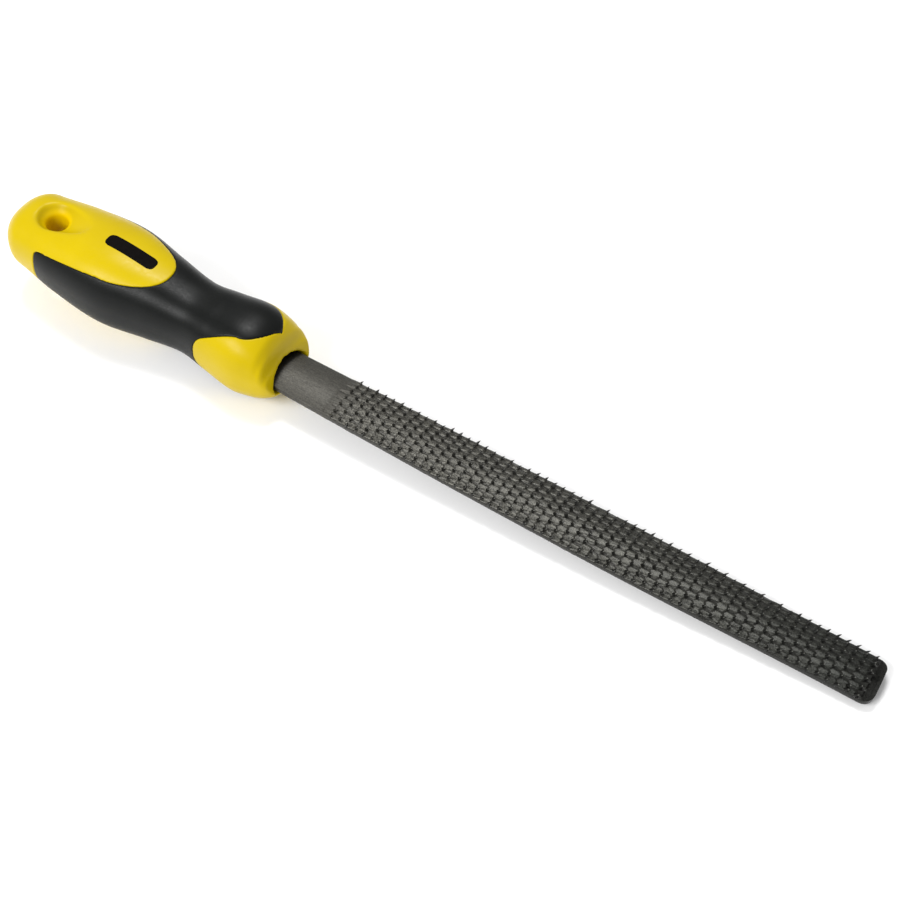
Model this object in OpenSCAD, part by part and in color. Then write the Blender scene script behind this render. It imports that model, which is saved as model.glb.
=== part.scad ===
// Half-round wood rasp, 200 mm class, with a two-material moulded handle.
// X runs along the tool with the tip at +X, and +Z points out of the curved face.
// The origin is the middle of the hang hole. "Station" means a distance along X
// from the handle's mouth, positive towards the tip and negative in the handle.

/* [Blade] */
// Length of blade outside the handle
blade_len = 198; // [160:1:240]
// Half of the blade's width at the mouth
heel_half_w = 7.9; // [7.6:0.1:8.2]
// Half of the blade's greatest width
belly_half_w = 9.1; // [8.6:0.1:9.5]
// Half of the blade's width just behind the tip's corners
tip_half_w = 7.6; // [7:0.1:8.4]
// Thickness of the blade's side edges
edge_t = 1.5; // [1.2:0.1:1.8]
// Height of the curved face above the side edges
arch_rise = 1.9; // [1.2:0.1:2.2]
// Radius of the tip's two corners in plan
tip_r = 3.0; // [1.5:0.1:4]
// Length of the tang inside the handle
tang_len = 60; // [45:1:62]

/* [Teeth] */
// Distance between rows of teeth
row_pitch = 3.0; // [2.6:0.1:4]
// Station of the first row
first_row = 19.8; // [15:0.1:30]
// Bare length left behind the tip
bare_tip = 4; // [3.5:0.1:10]
// Distance between neighbours in a row
tooth_gap = 2.8; // [2.4:0.1:3.5]
// Drift of the columns of teeth across the blade for each millimetre along it
column_drift = 0.042; // [0:0.002:0.06]
// Height of a tooth above the face
tooth_h = 1.0; // [0.4:0.05:1.2]
// Length of a tooth's ramp
tooth_l = 2.1; // [1.4:0.1:2.3]
// Width of a tooth at its cutting face
tooth_w = 1.0; // [0.6:0.1:1.8]
// How far a tooth's point leans over its foot, towards the tip
tooth_lean = 0.35; // [0:0.05:0.5]
// Slope of the rows across the blade
row_slope = 0.06; // [0:0.01:0.12]

/* [Handle] */
// Overall length of the handle
handle_len = 108.4; // [107:0.2:111]
// Squareness of the handle's section, where 2 is an ellipse
squareness = 2.4; // [2:0.1:3]
// Rise of the handle's middle line from the mouth to the hang hole
handle_rise = 3.3; // [0:0.1:5]
// Height of the handle's middle line over the blade's flat face at the mouth
mouth_lift = 2.9; // [2.6:0.1:3.2]
// Depth of the soft grip in the hard shell
grip_t = 2.2; // [1.5:0.1:2.6]

/* [Hang hole] */
// Distance from the mouth to the hang hole
hole_dist = 91.5; // [90:0.5:93]
// Radius of the hang hole
hole_r = 3.6; // [3:0.1:5]

/* [Badge] */
// Length of the printed bar on the handle
badge_l = 18.5; // [12:0.5:19]
// Width of the printed bar
badge_w = 4.8; // [3:0.1:6]

/* [Hidden] */

// The handle's sections, before the butt is rounded off: station, half width,
// and half height above and below the middle line.
HANDLE = [
    [0, 9.4, 1.6, 5.5],
    [-1.4, 10.9, 2.6, 7.5],
    [-3.4, 12.2, 3.8, 9.0],
    [-5.4, 12.8, 9.0, 10.5],
    [-8, 13.3, 12.4, 11.9],
    [-15.5, 14.2, 14.2, 13.9],
    [-26.5, 12.8, 12.8, 12.8],
    [-36.4, 11.6, 11.7, 11.7],
    [-49.7, 13.5, 13.5, 13.5],
    [-66, 16.4, 15.0, 15.0],
    [-84, 15.4, 13.2, 13.2],
    [-97, 13.3, 11.3, 11.3],
    [-112, 11.5, 9.4, 9.4]
];
// Squareness of the upper half of the section at the mouth, the station from which the
// section grows squarer, and the length over which it does.
mouth_squareness = 4.5;
square_from = -6.5;
square_run = 4;
// The mouth's face leans back: station and height of its foot and of its top.
face_foot = [1.05, -3];
face_top = [-4.35, 9];
// Radius over which the butt is rounded off.
butt_r = 9;
// Share of the section's size left where the butt is closed.
butt_flat = 0.2;

// Stations of the grip's outline: rear edge, tip of the shell's rear tongue,
// rear end of the shell's side lobes, and tip of the grip's front tongue.
grip_rear = -90.5;
tongue_tip = -46;
lobe_rear = -29.5;
front_tip = -6.4;
// The shell's rear tongue: its half angle, what that gains for each millimetre towards
// the butt, the length of its round tip, and the length and angle of its rear corners.
rear_tongue_a = 47;
rear_tongue_gain = 0.45;
rear_tip_l = 20;
rear_corner_l = 2.5;
rear_corner_a = 7;
// The grip's front tongue: its half angle, the length and sharpness of its round tip, how
// far and how late it widens round the lobes, and the angle and share of the lobes' rear
// corners.
front_tongue_a = 38;
front_tip_l = 9;
front_tip_bend = 0.95;
lobe_a = 31;
lobe_bend = 1.25;
lobe_corner_a = 15;
lobe_corner_share = 0.2;
// Half angle of the cells over the blade at the mouth, in front of the grip.
mouth_a = 45;
// Angle by which the grip's front tongue sits off the handle's middle, towards +Y.
front_offset_a = 12;

// Cells round a quarter of the handle: over a tongue, and beside it.
over_cells = 4;
side_cells = 5;
quarter = over_cells + side_cells;
ring = 4 * quarter;
// Smallest half angle of a tongue, so that no cell closes up.
tip_angle = 2;

// The mouth: the clear space beside, over and under the blade, and how deep it is.
mouth_beside = 0.8;
mouth_over = 3.0;
mouth_under = 0.5;
mouth_depth = 6.5;
// How much lower the mouth's arch is at its sides.
mouth_arch = 4.6;
// The tang's socket: a collar behind the mouth, then a slimmer sleeve.
collar_l = 8;
sleeve_half_w = 6.2;
sleeve_half_h = 3.6;
sleeve_end = 74;
tang_clear = 0.05;

// The blade inside the handle: full width to the shoulder, then the tang.
shoulder = -10;
tang_root_l = 4;
tang_root_half_w = 4.4;
tang_end_half_w = 2.2;
tang_root_t = 3.0;
tang_end_t = 1.8;

// The scoop that leads into the hang hole.
scoop_r = 6.5;
scoop_over = 1.5;
scoop_reach = 10;
scoop_end_over = 5.4;

// Depth of the printed bar's foot in the shell and its height above it.
badge_sink = 0.4;
badge_proud = 0.12;
badge_at = -61;
// Share of the blade's length at which it starts to narrow to the tip.
taper_from = 0.55;
// Length over which the lines across the blade take on the rows' slope.
lean_blend = 5;
// Length of the step between the blade's full width and its tang.
shoulder_step = 0.01;
// Clear face left between an outer tooth and the blade's edge.
edge_land = 0.1;
// Room from which a row takes one more tooth at its edge, as a share of a tooth's width.
edge_room = 1.1;
// Points of a plain line across the blade.
plain_n = 9;
// How far the cuts for the mouth and the hang hole run out past the handle.
clear_run = 5;
hole_run = 40;

blade_t = edge_t + arch_rise;
row_count = floor((blade_len - bare_tip - first_row) / row_pitch) + 1;

// ---- small helpers ----

function clamp01(t) = min(1, max(0, t));
function mix(a, b, t) = a + (b - a) * t;
function ease(t) = t * t * (3 - 2 * t);
function signed_pow(v, p) = sign(v) * pow(abs(v), p);
function span(a, b, n) = [for (i = [0 : n]) mix(a, b, i / n)];
// As span(), with the points crowded towards b.
function span_to(a, b, n) = [for (i = [0 : n]) mix(a, b, sin(90 * i / n))];
// As span(), with the points crowded towards a.
function span_from(a, b, n) = [for (i = [0 : n]) mix(a, b, 1 - cos(90 * i / n))];
function tail(list) = [for (i = [1 : len(list) - 1]) list[i]];

// ---- handle form ----

// Slope of column c of the handle's table at row i.
function knot_slope(c, i) =
    let (a = HANDLE[max(i - 1, 0)], b = HANDLE[min(i + 1, len(HANDLE) - 1)])
    (b[c] - a[c]) / (b[0] - a[0]);

// Column c of the handle's table at station x, as a smooth curve through its rows.
function handle_table(c, x) =
    let (
        i = max([for (k = [0 : len(HANDLE) - 2]) if (HANDLE[k][0] >= x || k == 0) k]),
        a = HANDLE[i],
        b = HANDLE[i + 1],
        l = b[0] - a[0],
        t = (x - a[0]) / l,
        bend_a = knot_slope(c, i) * l,
        bend_b = knot_slope(c, i + 1) * l
    )
    a[c] * (1 + 2 * t) * (1 - t) * (1 - t) + bend_a * t * (1 - t) * (1 - t)
        + b[c] * t * t * (3 - 2 * t) + bend_b * t * t * (t - 1);

function butt_factor(x) =
    let (t = clamp01((butt_r - handle_len - x) / butt_r))
    max(butt_flat, sqrt(1 - t * t));

function half_w(x) = handle_table(1, x) * butt_factor(x);
// Half height above the middle line where side is 1, and below it where side is -1.
function half_h(x, side) = handle_table(side < 0 ? 3 : 2, x) * butt_factor(x);
function mid_z(x) = mouth_lift - handle_rise * x / hole_dist;

// Squareness of the section above the middle line where side is positive, and below it.
function squareness_at(x, side) =
    side > 0 ? mix(squareness, mouth_squareness, ease(clamp01((x - square_from) / square_run)))
    : squareness;

// Point of the handle's surface at station x and angle a from the top, sunk by d.
function skin(x, a, d = 0) =
    let (power = 2 / squareness_at(x, cos(a)))
    [
        x,
        (half_w(x) - d) * signed_pow(sin(a), power),
        mid_z(x) + (half_h(x, cos(a)) - d) * signed_pow(cos(a), power)
    ];

// Share of full width left at t along a round end, where t runs from 0 to 1.
function round_end(t) = sqrt(1 - t * t);

// Half angle of the shell's rear tongue.
function rear_tongue(x) =
    let (
        tip = clamp01((x - tongue_tip + rear_tip_l) / rear_tip_l),
        corner = clamp01((grip_rear + rear_corner_l - x) / rear_corner_l),
        half = rear_tongue_a + rear_tongue_gain * max(0, tongue_tip - rear_tip_l - x)
    )
    half * round_end(tip) + rear_corner_a * (1 - round_end(corner));

// Half angle of the grip's front tongue, which widens round the shell's side lobes.
function front_tongue(x) =
    let (
        tip = clamp01(1 - (front_tip - x) / front_tip_l),
        lobe = clamp01((front_tip - front_tip_l - x) / (front_tip - front_tip_l - lobe_rear)),
        corner = clamp01(1 - (1 - lobe) / lobe_corner_share)
    )
    front_tongue_a * pow(1 - tip * tip, front_tip_bend)
        + lobe_a * pow(lobe, lobe_bend)
        + lobe_corner_a * (1 - round_end(corner));

// Half angle of the cells between the two tongues, where the grip goes all round.
function waist_angle(x) =
    mix(tip_angle, front_tongue(lobe_rear), ease((x - tongue_tip) / (lobe_rear - tongue_tip)));

// Angle from the top at which the cells change from "over" to "side".
function split_angle(x) = max(tip_angle,
    x <= grip_rear ? rear_tongue(grip_rear)
    : x <= tongue_tip ? rear_tongue(x)
    : x < lobe_rear ? waist_angle(x)
    : x <= front_tip ? front_tongue(x)
    : mouth_a * ease(1 - x / front_tip));

// Angle from the top of the middle of the grip's outline at station x.
function outline_offset(x) =
    front_offset_a * ease(clamp01((x - tongue_tip) / (front_tip - front_tip_l - tongue_tip)));

// Angle of line j of the ring at station x, moved round over the top by the outline's offset.
function ring_angle(x, j) =
    let (a = even_angle(x, j))
    a + outline_offset(x) * max(0, cos(a));

// Angle of line j of the ring at station x, with the four quarters alike.
function even_angle(x, j) =
    let (
        q = floor(j / quarter),
        r = j - q * quarter,
        s = q % 2 == 0 ? r : quarter - r,
        a = split_angle(x),
        f = s <= over_cells ? a * s / over_cells : mix(a, 90, (s - over_cells) / side_cells)
    )
    q % 2 == 0 ? 90 * q + f : 90 * (q + 1) - f;

function is_over(j) =
    let (q = floor(j / quarter), r = j - q * quarter)
    (q % 2 == 0 ? r : quarter - 1 - r) < over_cells;

// The handle's stations, butt first, with one at every corner of the grip's outline.
butt_x = -handle_len + butt_r * (1 - sqrt(1 - butt_flat * butt_flat));
X = concat(
    span_from(butt_x, grip_rear, 8),
    tail(span_from(grip_rear, grip_rear + rear_corner_l, 3)),
    tail(span(grip_rear + rear_corner_l, tongue_tip - rear_tip_l, 4)),
    tail(span_to(tongue_tip - rear_tip_l, tongue_tip, 9)),
    tail(span(tongue_tip, lobe_rear, 5)),
    tail(span_from(lobe_rear, front_tip - front_tip_l, 6)),
    tail(span_to(front_tip - front_tip_l, front_tip, 6)),
    tail(span(front_tip, 0, 8))
);

// True where the cell at station i and ring line j belongs to the soft grip.
function gripped(i, j) =
    let (x = i < 0 ? -handle_len : (X[i] + X[i + 1]) / 2)
    x > grip_rear && x < front_tip
        && (x < tongue_tip ? !is_over(j) : x < lobe_rear ? true : is_over(j));

// Both skins of the handle share one list of points: level 0 is the surface, level 1 the recess.
SKIN = [for (x = X, j = [0 : ring - 1], level = [0, 1]) skin(x, ring_angle(x, j), level * grip_t)];
function id(i, j, level) = 2 * (i * ring + (j + ring) % ring) + level;

// Two triangles for the cell of corners a, b, c, d, turned over when flip is true.
function cell(a, b, c, d, flip) = flip ? [[a, b, c], [a, c, d]] : [[c, b, a], [d, c, a]];

function skin_cell(i, j, level, flip) =
    cell(id(i, j, level), id(i + 1, j, level), id(i + 1, j + 1, level), id(i, j + 1, level), flip);

// Walls between the grip and the shell, seen from the grip when flip is true.
function long_wall(i, j, flip) =
    cell(id(i, j, 0), id(i + 1, j, 0), id(i + 1, j, 1), id(i, j, 1), flip);
function cross_wall(i, j, flip) =
    cell(id(i, j, 0), id(i, j + 1, 0), id(i, j + 1, 1), id(i, j, 1), flip);

WALLS = [
    for (i = [0 : len(X) - 2], j = [0 : ring - 1])
        let (here = gripped(i, j), beside = gripped(i, (j + ring - 1) % ring), behind = gripped(i - 1, j))
        each concat(
            here == beside ? [] : [[i, j, here, true]],
            here == behind ? [] : [[i, j, behind, false]]
        )
];

function wall_faces(flip) = [
    for (w = WALLS)
        let (turn = w[2] ? flip : !flip)
        each (w[3] ? long_wall(w[0], w[1], turn) : cross_wall(w[0], w[1], turn))
];

// ---- blade form ----

// Half width in plan: it grows quickly, then slowly to the belly, and narrows to the tip.
function plan_half_w(x) =
    let (
        swell = mix(belly_half_w, heel_half_w, pow(1 - clamp01(2 * x / blade_len), 2)),
        taper = mix(swell, tip_half_w, ease(clamp01((x / blade_len - taper_from) / (1 - taper_from)))),
        corner = clamp01((x - blade_len + tip_r) / tip_r)
    )
    x >= shoulder ? taper - tip_r * (1 - round_end(corner)) : tang_half_w(x);

function tang_half_w(x) =
    let (t = clamp01((shoulder - tang_root_l - x) / (tang_len - tang_root_l)))
    mix(tang_root_half_w, tang_end_half_w, t);
function tang_t(x) = mix(tang_root_t, tang_end_t, clamp01((shoulder - x) / tang_len));

// Height of the curved face over the flat plane, at station x and across at y.
function face_z(x, y) = x >= shoulder
    ? edge_t + arch_rise * (1 - pow(y / belly_half_w, 2))
    : tang_t(x);

// How far a line across the blade leans towards the tip, for each millimetre across.
function row_lean(x) =
    row_slope * clamp01((x - first_row / 2) / lean_blend) * clamp01((blade_len - x) / bare_tip);

// A line of points across the blade. Side is 1 for the curved face and -1 for the flat one.
function across(x, ys, side, grow = 0) = [
    for (y = ys) [x + row_lean(x) * y, y, side > 0 ? face_z(x, y) + grow : -grow]
];
function plain_ys(x, grow = 0) =
    let (w = plan_half_w(x) + grow)
    [for (j = [0 : plain_n - 1]) mix(-w, w, j / (plain_n - 1))];

// Where the teeth of every row are: evenly spaced across the blade, and one more at an edge with room.
function row_x(k) = first_row + k * row_pitch;
TEETH = [
    for (k = [0 : row_count - 1])
        let (
            reach = plan_half_w(row_x(k)) - tooth_w / 2 - edge_land,
            shift = (k % 2) * tooth_gap / 2 - column_drift * k * row_pitch,
            first = ceil((-reach - shift) / tooth_gap),
            last = floor((reach - shift) / tooth_gap),
            even = [for (j = [first : last]) j * tooth_gap + shift]
        )
        concat(
            even[0] + reach > edge_room * tooth_w ? [-reach] : [],
            even,
            reach - even[len(even) - 1] > edge_room * tooth_w ? [reach] : []
        )
];

// A row's back line, through the teeth's roots, and its front line, through their feet.
function back_x(k) = row_x(k) - tooth_l;
function back_ys(k) =
    let (w = plan_half_w(back_x(k)))
    concat([-w], TEETH[k], [w]);
function front_ys(k) =
    let (w = plan_half_w(row_x(k)))
    concat([-w], [for (y = TEETH[k], s = [-1, 1]) y + s * tooth_w / 2], [w]);

// The teeth's points, which stand off square to the face.
function tooth_points(k, side) = [
    for (y = TEETH[k])
        let (
            slope = side > 0 ? 2 * arch_rise * y / pow(belly_half_w, 2) : 0,
            h = tooth_h / sqrt(1 + slope * slope),
            x = row_x(k) + tooth_lean + row_slope * y
        )
        [x, y + h * slope, side > 0 ? face_z(x, y) + h : -h]
];

// Stations of the plain lines behind the first row and beyond the last one.
TANG = concat(
    span(shoulder - tang_len, shoulder - tang_root_l, 3),
    [shoulder - shoulder_step, shoulder],
    [mix(shoulder, 0, 0.5), first_row * 0.25, first_row * 0.6]
);
TIP = concat([blade_len - bare_tip * 0.8], span_to(blade_len - tip_r, blade_len, 5));

// All points of one face: the tang's plain lines, the rows, and the tip's plain lines.
function plain_lines(xs, side, grow = 0) = [for (x = xs) each across(x, plain_ys(x, grow), side, grow)];
function blade_face(side) = concat(
    plain_lines(TANG, side),
    [for (k = [0 : row_count - 1]) each concat(
        across(back_x(k), back_ys(k), side),
        across(row_x(k), front_ys(k), side),
        tooth_points(k, side)
    )],
    plain_lines(TIP, side)
);

// Index of the first point of each line.
function back_n(k) = len(TEETH[k]) + 2;
function front_n(k) = 2 * len(TEETH[k]) + 2;
function row_n(k) = back_n(k) + front_n(k) + len(TEETH[k]);
BACK_AT = [for (k = 0, at = len(TANG) * plain_n; k < row_count; at = at + row_n(k), k = k + 1) at];
function front_at(k) = BACK_AT[k] + back_n(k);
tip_at = BACK_AT[row_count - 1] + row_n(row_count - 1);

// Faces between two lines that start at points a and b, whose points lie at ys_a and ys_b.
function middles(ys) = [for (i = [0 : len(ys) - 2]) ys[i] + ys[i + 1]];
function count_to(list, v) = len([for (m = list) if (m <= v) m]);
function count_below(list, v) = len([for (m = list) if (m < v) m]);
function strip(a, ys_a, b, ys_b) =
    let (mid_a = middles(ys_a), mid_b = middles(ys_b))
    concat(
        [for (i = [0 : len(mid_a) - 1]) [a + i, a + i + 1, b + count_below(mid_b, mid_a[i])]],
        [for (j = [0 : len(mid_b) - 1]) [a + count_to(mid_a, mid_b[j]), b + j + 1, b + j]]
    );
function plain_strips(xs, at) = [
    for (i = [0 : len(xs) - 2])
        each strip(at + i * plain_n, plain_ys(xs[i]), at + (i + 1) * plain_n, plain_ys(xs[i + 1]))
];

// One row: its teeth, the face between them and the strips beside the outer ones.
function tooth_faces(k) =
    let (a = BACK_AT[k], b = front_at(k), p = b + front_n(k), n = len(TEETH[k]))
    concat(
        [for (j = [0 : n - 1]) each [
            [a + j + 1, p + j, b + 2 * j + 1],
            [a + j + 1, b + 2 * j + 2, p + j],
            [b + 2 * j + 1, p + j, b + 2 * j + 2]
        ]],
        [for (j = [0 : n]) each [
            [a + j, a + j + 1, b + 2 * j],
            [a + j + 1, b + 2 * j + 1, b + 2 * j]
        ]]
    );

FACE = concat(
    plain_strips(TANG, 0),
    strip((len(TANG) - 1) * plain_n, plain_ys(TANG[len(TANG) - 1]), BACK_AT[0], back_ys(0)),
    [for (k = [0 : row_count - 1]) each tooth_faces(k)],
    [for (k = [0 : row_count - 2]) each strip(front_at(k), front_ys(k), BACK_AT[k + 1], back_ys(k + 1))],
    strip(front_at(row_count - 1), front_ys(row_count - 1), tip_at, plain_ys(TIP[0])),
    plain_strips(TIP, tip_at)
);

// First and last point of every line, in order.
function plain_ends(xs, at) = [for (i = [0 : len(xs) - 1]) [at + i * plain_n, at + (i + 1) * plain_n - 1]];
ENDS = concat(
    plain_ends(TANG, 0),
    [for (k = [0 : row_count - 1]) each [
        [BACK_AT[k], BACK_AT[k] + back_n(k) - 1],
        [front_at(k), front_at(k) + front_n(k) - 1]
    ]],
    plain_ends(TIP, tip_at)
);

function flipped(faces) = [for (f = faces) [f[2], f[1], f[0]]];
function shifted(faces, d) = [for (f = faces) [for (v = f) v + d]];

// Side walls between the two faces' lines, whose points are n apart.
function side_walls(ends, n) = [
    for (i = [0 : len(ends) - 2])
        let (a = ends[i], b = ends[i + 1])
        each [
            [a[0], b[0], b[0] + n], [a[0], b[0] + n, a[0] + n],
            [b[1], a[1], b[1] + n], [a[1], a[1] + n, b[1] + n]
        ]
];
// End walls at the first line and at the last one, which starts at t.
function end_walls(t, n) = [
    for (i = [0 : plain_n - 2]) each [
        [i, i + n, i + 1], [i + 1, i + n, i + 1 + n],
        [t + i, t + i + 1, t + i + n], [t + i + 1, t + i + 1 + n, t + i + n]
    ]
];

// The solid between two faces with the same lines.
module two_faced(upper, lower, faces, ends) {
    n = len(upper);
    polyhedron(
        points = concat(upper, lower),
        faces = concat(
            faces,
            shifted(flipped(faces), n),
            side_walls(ends, n),
            end_walls(ends[len(ends) - 1][0], n)
        ),
        convexity = 6
    );
}

// ---- pieces ----

// Everything is drawn from the mouth, then moved so that the origin is the hang hole.
module placed() {
    translate([hole_dist, 0, -mid_z(-hole_dist)]) children();
}

// The curved-topped opening that clears the blade, as an outline across the handle.
module mouth_outline() {
    top = blade_t + mouth_over;
    half = heel_half_w + mouth_beside;
    arch_r = (pow(half, 2) + pow(mouth_arch, 2)) / (2 * mouth_arch);
    intersection() {
        translate([0, top - arch_r]) circle(r = arch_r, $fn = 96);
        translate([-half, -mouth_under]) square([2 * half, top + mouth_under]);
    }
}

// Extrudes an outline, drawn across the tool, from station a to station b.
module along(a, b) {
    translate([a, 0, 0]) rotate([90, 0, 90]) linear_extrude(height = b - a) children();
}

// Everything in front of the mouth's leaning face.
module mouth_face() {
    rotate([90, 0, 0])
        linear_extrude(height = 4 * HANDLE[0][1], center = true)
            polygon([face_foot, face_top, [clear_run, face_top[1]], [clear_run, face_foot[1]]]);
}

module socket_sleeve() {
    along(-sleeve_end, -mouth_depth - collar_l)
        translate([0, blade_t / 2]) square([2 * sleeve_half_w, 2 * sleeve_half_h], center = true);
}

// The blade's root and tang, grown by a clearance, for the slot in the socket.
module tang_form(grow) {
    upper = plain_lines(TANG, 1, grow);
    lower = plain_lines(TANG, -1, grow);
    two_faced(upper, lower, plain_strips(TANG, 0), plain_ends(TANG, 0));
}

// The scoop that eases the way into the hang hole, on the side where up is 1 or -1.
module scoop(up) {
    near = mid_z(-hole_dist) + up * (half_h(-hole_dist, up) + scoop_over);
    far_x = scoop_reach - hole_dist;
    far = mid_z(far_x) + up * (half_h(far_x, up) + scoop_end_over);
    hull() {
        translate([-hole_dist, 0, near]) sphere(r = scoop_r, $fn = 32);
        translate([far_x, 0, far]) sphere(r = scoop_r, $fn = 32);
    }
}

// Height of the handle's upper surface at station x and across at y.
function over_z(x, y) =
    mid_z(x) + half_h(x, 1) * pow(1 - pow(abs(y) / half_w(x), squareness), 1 / squareness);

// A thin plate with round ends that follows the handle's upper surface.
module bar_form() {
    long = 18;
    wide = 4;
    blunt = 0.12;
    r = badge_w / 2;
    xs = [for (i = [0 : long]) badge_at - cos(180 * i / long) * badge_l / 2];
    pts = [
        for (d = [badge_proud, -badge_sink], x = xs, j = [0 : wide])
            let (
                past = max(0, abs(x - badge_at) - badge_l / 2 + r) / r,
                y = mix(-1, 1, j / wide) * r * max(blunt, round_end(min(1, past)))
            )
            [x, y, over_z(x, y) + d]
    ];
    row = wide + 1;
    n = row * (long + 1);
    grid = [
        for (i = [0 : long - 1], j = [0 : wide - 1])
            let (a = i * row + j)
            each [[a, a + 1, a + row], [a + 1, a + row + 1, a + row]]
    ];
    rim = concat(
        [for (i = [0 : long - 1]) i * row],
        [for (j = [0 : wide - 1]) long * row + j],
        [for (i = [long : -1 : 1]) i * row + wide],
        [for (j = [wide : -1 : 1]) j]
    );
    polyhedron(
        points = pts,
        faces = concat(grid, shifted(flipped(grid), n), [
            for (k = [0 : len(rim) - 1])
                let (a = rim[k], b = rim[(k + 1) % len(rim)])
                each [[a, b, b + n], [a, b + n, a + n]]
        ]),
        convexity = 4
    );
}

module blade() {
    color([0.36, 0.36, 0.34]) placed() two_faced(blade_face(1), blade_face(-1), FACE, ENDS);
}

module handle_shell() {
    color([0.93, 0.8, 0.05]) placed()
        difference() {
            polyhedron(
                points = SKIN,
                faces = concat(
                    [for (i = [0 : len(X) - 2], j = [0 : ring - 1])
                        each skin_cell(i, j, gripped(i, j) ? 1 : 0, false)],
                    wall_faces(false),
                    [[for (j = [ring - 1 : -1 : 0]) id(0, j, 0)]],
                    [[for (j = [0 : ring - 1]) id(len(X) - 1, j, 0)]]
                ),
                convexity = 8
            );
            along(-mouth_depth - collar_l, clear_run) mouth_outline();
            mouth_face();
            socket_sleeve();
            translate([-hole_dist, 0, mid_z(-hole_dist) - hole_run])
                cylinder(h = 2 * hole_run, r = hole_r, $fn = 64);
            scoop(1);
            scoop(-1);
            bar_form();
        }
}

module soft_grip() {
    color([0.16, 0.16, 0.16]) placed()
        polyhedron(
            points = SKIN,
            faces = concat(
                [for (i = [0 : len(X) - 2], j = [0 : ring - 1]) if (gripped(i, j))
                    each concat(skin_cell(i, j, 0, false), skin_cell(i, j, 1, true))],
                wall_faces(true)
            ),
            convexity = 8
        );
}

module tang_socket() {
    color([0.1, 0.1, 0.1]) placed()
        difference() {
            union() {
                along(-mouth_depth - collar_l, -mouth_depth) mouth_outline();
                socket_sleeve();
            }
            tang_form(tang_clear);
        }
}

module print_bar() {
    color([0.05, 0.05, 0.05]) placed() bar_form();
}

blade();
handle_shell();
soft_grip();
tang_socket();
print_bar();
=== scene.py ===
"""Looks for the half-round wood rasp: a toothed blade, a two-material handle and a studio."""

import math

import bmesh
import bpy
import numpy as np
from mathutils import Matrix, Vector
from mathutils.bvhtree import BVHTree


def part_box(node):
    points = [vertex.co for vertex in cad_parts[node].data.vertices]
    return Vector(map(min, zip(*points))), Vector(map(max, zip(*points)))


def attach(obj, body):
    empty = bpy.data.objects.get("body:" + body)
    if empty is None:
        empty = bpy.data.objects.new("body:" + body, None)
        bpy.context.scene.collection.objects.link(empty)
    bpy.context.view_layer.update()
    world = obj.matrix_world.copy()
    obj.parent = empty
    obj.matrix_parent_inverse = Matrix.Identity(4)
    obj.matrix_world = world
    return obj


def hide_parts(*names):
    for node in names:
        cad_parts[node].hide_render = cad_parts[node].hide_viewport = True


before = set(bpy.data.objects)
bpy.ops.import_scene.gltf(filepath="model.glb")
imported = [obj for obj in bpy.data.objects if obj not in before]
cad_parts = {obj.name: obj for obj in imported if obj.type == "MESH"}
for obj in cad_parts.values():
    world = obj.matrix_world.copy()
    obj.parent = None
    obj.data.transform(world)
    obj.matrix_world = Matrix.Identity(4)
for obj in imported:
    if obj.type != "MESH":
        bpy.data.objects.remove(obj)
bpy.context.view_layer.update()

MM = 0.001

# ---------------------------------------------------------------- the frame's own measures
# Stations run along X from the handle's mouth, in millimetres, as in the CAD source.
tip_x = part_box("blade")[1].x / MM
mouth_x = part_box("handle_shell")[1].x / MM
bar_lo, bar_hi = (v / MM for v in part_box("print_bar"))

blade_len = tip_x - mouth_x
edge_t, arch_rise = 1.5, 1.9
belly_half_w, heel_half_w, tip_half_w = 9.1, 7.9, 7.6
blade_t = edge_t + arch_rise
handle_rise, mouth_lift = 3.3, 2.9
flat_z = -handle_rise - mouth_lift


def to_row(points):
    """Points in the mouth's frame, in millimetres, as points of the row frame in metres."""
    return (np.asarray(points, float) + [mouth_x, 0, flat_z]) * MM


# ---------------------------------------------------------------- small helpers
def ease(t):
    t = np.clip(t, 0, 1)
    return t * t * (3 - 2 * t)


def mix(a, b, t):
    return a + (b - a) * t


def mesh_object(name, points, faces, smooth=True):
    """A mesh from points in metres and faces, with its normals turned outwards."""
    mesh = bpy.data.meshes.new(name)
    mesh.from_pydata([tuple(p) for p in points], [], [tuple(f) for f in faces])
    mesh.validate()
    bm = bmesh.new()
    bm.from_mesh(mesh)
    bmesh.ops.recalc_face_normals(bm, faces=bm.faces)
    bm.to_mesh(mesh)
    bm.free()
    mesh.update()
    obj = bpy.data.objects.new(name, mesh)
    bpy.context.scene.collection.objects.link(obj)
    if smooth:
        mesh.shade_smooth()
    return obj


def apply_modifiers(obj):
    """Bakes the modifiers into the object's mesh."""
    graph = bpy.context.evaluated_depsgraph_get()
    baked = bpy.data.meshes.new_from_object(obj.evaluated_get(graph))
    obj.modifiers.clear()
    old = obj.data
    obj.data = baked
    bpy.data.meshes.remove(old)


def cut(obj, *cutters):
    """Cuts solids out of obj and removes them."""
    for c in cutters:
        m = obj.modifiers.new("cut", "BOOLEAN")
        m.operation, m.solver, m.object = "DIFFERENCE", "EXACT", c
    apply_modifiers(obj)
    for c in cutters:
        bpy.data.objects.remove(c)


# How quickly a lip's rounding fades out towards its reach, in how many levels, and its voxels' size.
lip_fade, lip_levels, lip_voxel = 1.6, 10, 0.3 * MM


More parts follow.
